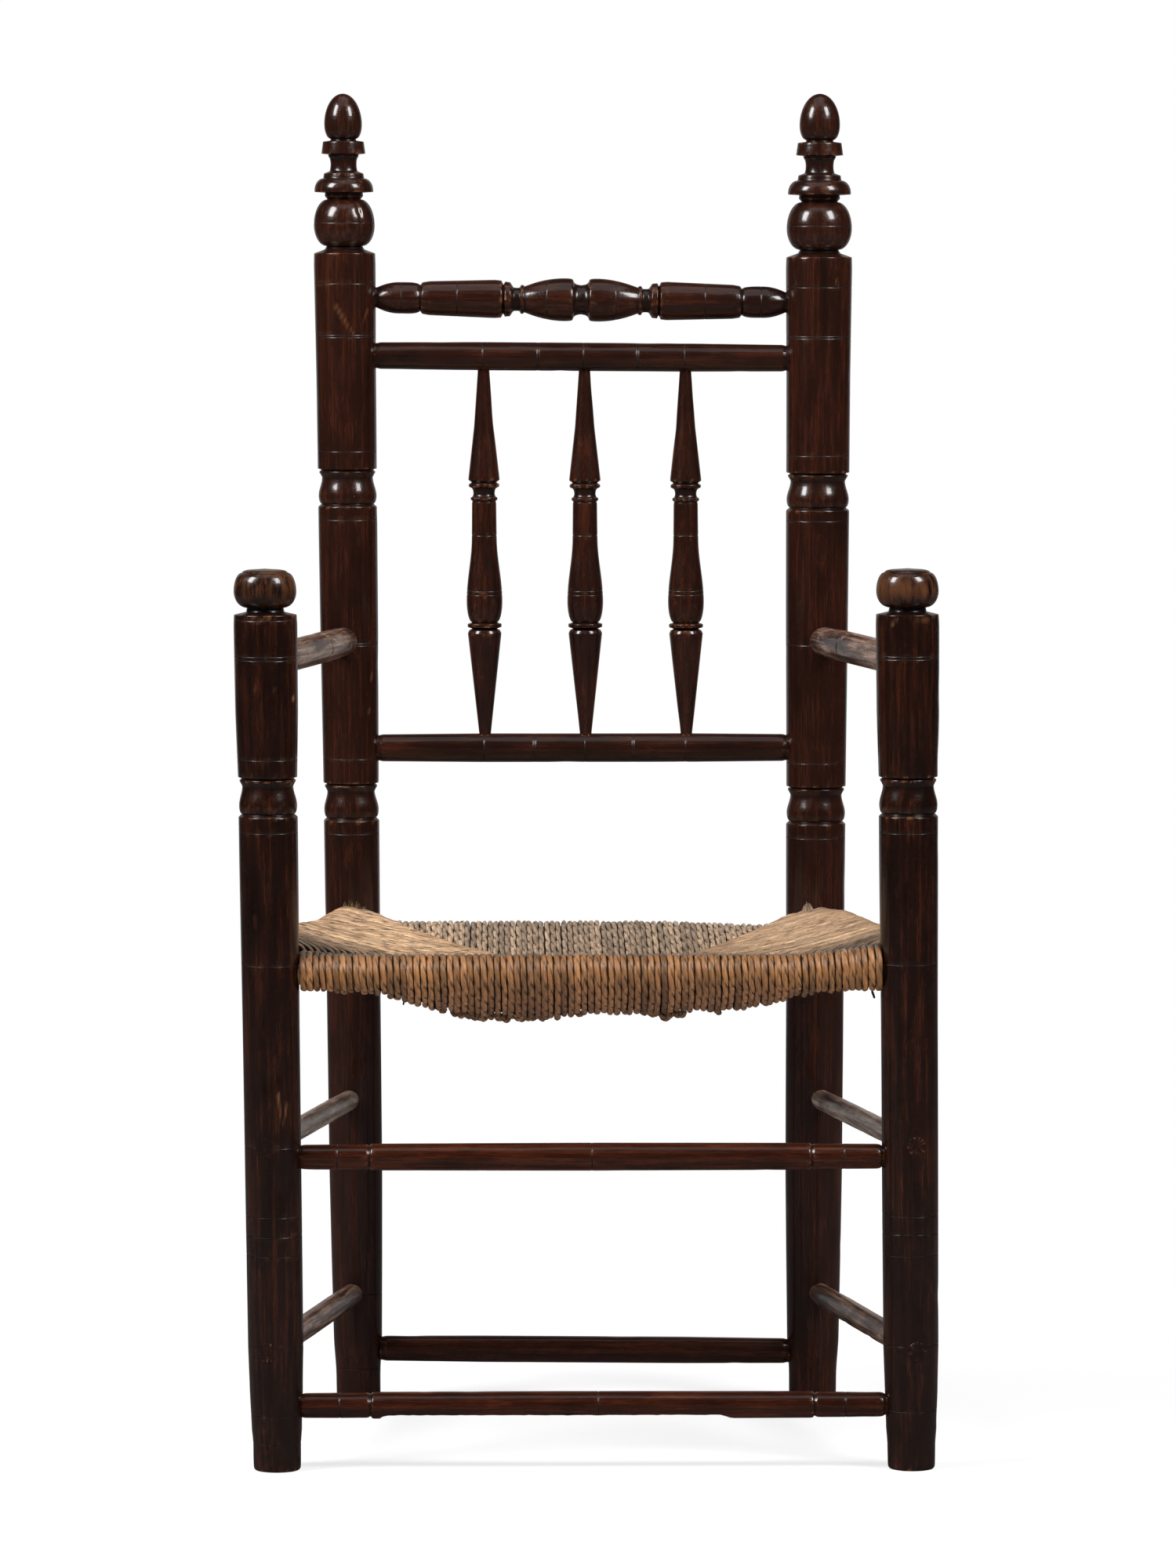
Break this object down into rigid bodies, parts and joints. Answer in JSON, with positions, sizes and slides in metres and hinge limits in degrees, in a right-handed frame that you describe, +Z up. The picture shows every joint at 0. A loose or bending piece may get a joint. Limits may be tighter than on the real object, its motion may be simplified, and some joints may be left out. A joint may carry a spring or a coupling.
{
  "type": "armchair with spindle back",
  "caption": "Turned wooden armchair with a spindle back under a decorated crest rail, ball handgrips, round stretchers and a woven rush seat",
  "frame": {"origin": "on the floor under the centre of the chair's bounding box", "axes": "+Z up along the posts, -Y towards the front of the seat, +X to the right as seen from the front"},
  "size_m": [0.584, 0.3952, 1.1458],
  "materials": {
    "varnished_wood": "dark glossy old varnish",
    "worn_wood": "worn varnish",
    "bare_wood": "unfinished",
    "rush": "twisted plant cord, aged"
  },
  "bodies": {
    "root": {"rear_post_left": "varnished_wood", "rear_post_right": "varnished_wood", "front_post_left": "varnished_wood", "front_post_right": "varnished_wood", "crest_rail": "varnished_wood", "spindle_rail_upper": "varnished_wood", "spindle_rail_lower": "varnished_wood", "back_spindle_left": "varnished_wood", "back_spindle_centre": "varnished_wood", "back_spindle_right": "varnished_wood", "arm_left": "worn_wood", "arm_right": "worn_wood", "seat_rail_front": "bare_wood", "seat_rail_rear": "bare_wood", "seat_rail_left": "bare_wood", "seat_rail_right": "bare_wood", "front_stretcher_upper": "varnished_wood", "front_stretcher_lower": "varnished_wood", "rear_stretcher": "varnished_wood", "side_stretcher_upper_left": "worn_wood", "side_stretcher_upper_right": "worn_wood", "side_stretcher_lower_left": "worn_wood", "side_stretcher_lower_right": "worn_wood", "rush_seat": "rush"}
  },
  "joints": []
}
